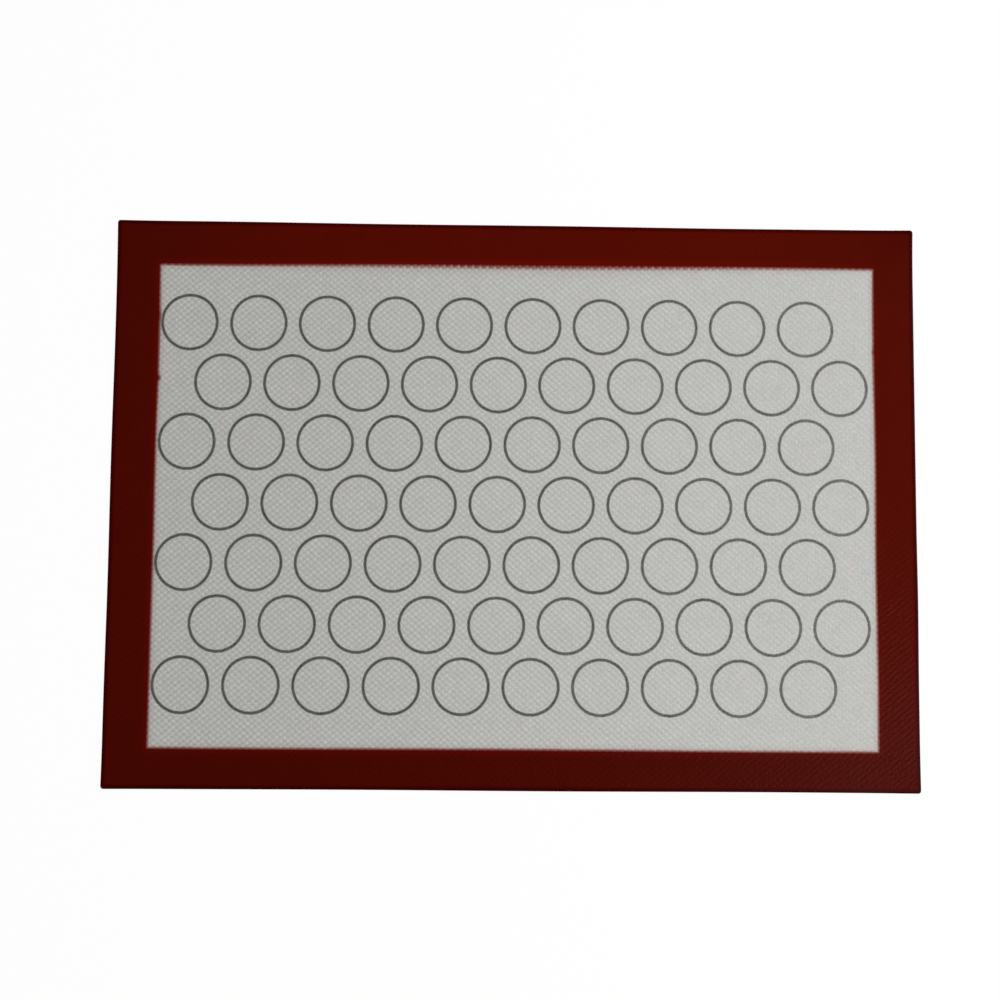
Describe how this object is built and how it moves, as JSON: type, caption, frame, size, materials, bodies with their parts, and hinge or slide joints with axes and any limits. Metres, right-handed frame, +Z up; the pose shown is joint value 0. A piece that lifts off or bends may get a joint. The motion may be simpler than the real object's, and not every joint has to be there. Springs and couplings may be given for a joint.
{
  "type": "silicone baking mat",
  "caption": "Thin flexible rectangular sheet with a coloured border frame and staggered rows of printed guide rings, for lining a baking tray.",
  "frame": {"origin": "centre of the mat's outline, on the surface that it lies on", "axes": "+Z up out of the working face that carries the rings, +X along the length from left to right, +Y towards the back edge"},
  "size_m": [0.42, 0.295, 0.0008],
  "materials": {
    "glass_cloth": "matte",
    "silicone_coat": "satin",
    "border_silicone": "satin",
    "guide_ink": "satin"
  },
  "bodies": {
    "root": {"glass_cloth": "glass_cloth", "base_coat": "silicone_coat", "top_coat": "silicone_coat", "border_frame": "border_silicone", "guide_rings_row_1": "guide_ink", "guide_rings_row_2": "guide_ink", "guide_rings_row_3": "guide_ink", "guide_rings_row_4": "guide_ink", "guide_rings_row_5": "guide_ink", "guide_rings_row_6": "guide_ink", "guide_rings_row_7": "guide_ink"}
  },
  "joints": []
}
